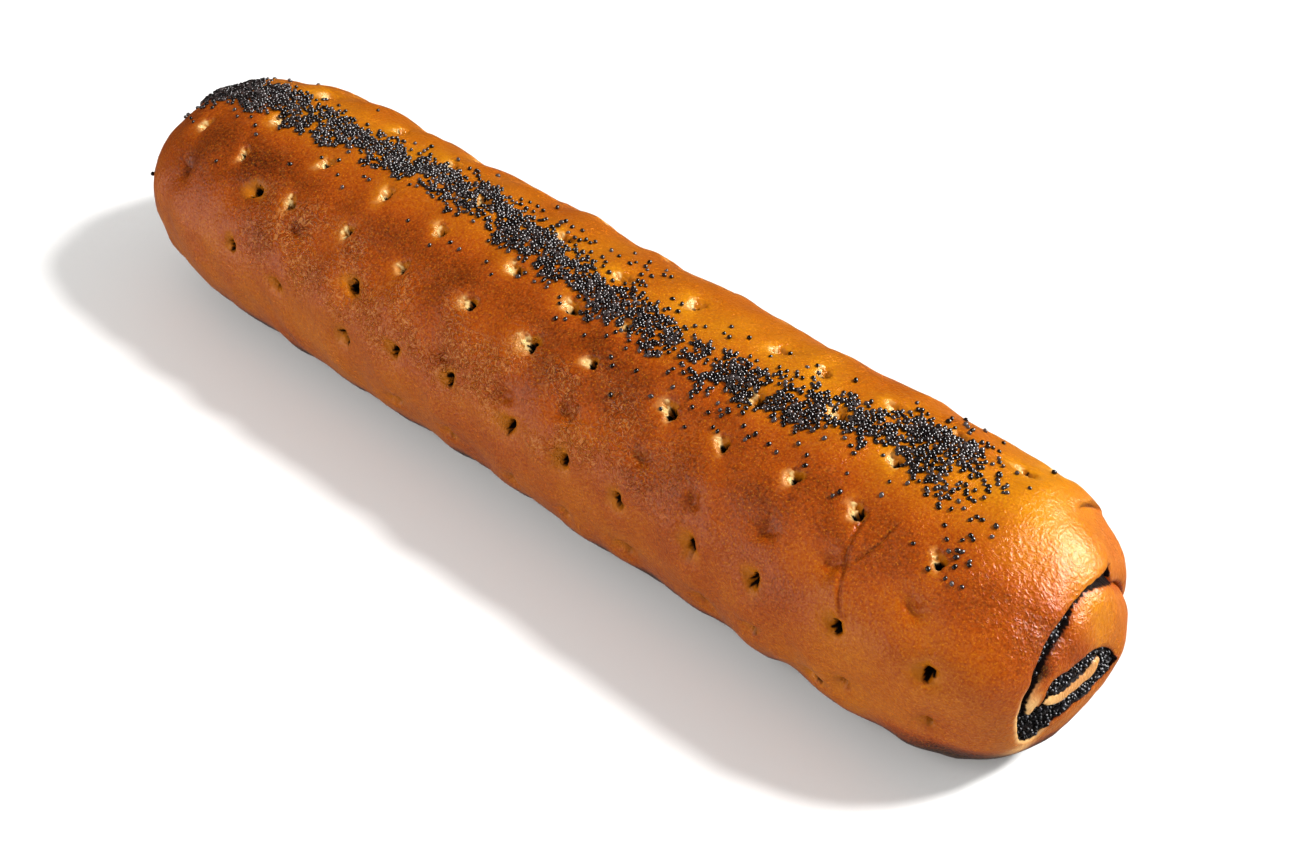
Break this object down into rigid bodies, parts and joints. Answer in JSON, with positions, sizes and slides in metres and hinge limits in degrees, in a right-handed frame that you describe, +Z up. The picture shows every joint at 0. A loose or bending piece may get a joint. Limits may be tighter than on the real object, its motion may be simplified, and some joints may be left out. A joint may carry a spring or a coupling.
{
  "type": "poppy seed long loaf",
  "caption": "Long rolled sweet bread loaf with a glossy docked crust, a band of poppy seeds along its crown and a swirl of poppy seed filling showing at its ends.",
  "frame": {"origin": "middle of the flat base, on the surface the loaf stands on", "axes": "+X runs along the loaf towards the end whose swirl the picture shows, +Z is up"},
  "size_m": [0.2997, 0.0708, 0.0588],
  "materials": {
    "crust": "baked egg-washed milk dough, golden to red-brown, satin gloss",
    "poppy_filling": "ground poppy seed paste, near black, matt and grainy"
  },
  "bodies": {
    "root": {"dough_roll": "crust", "poppy_filling": "poppy_filling"}
  },
  "joints": []
}
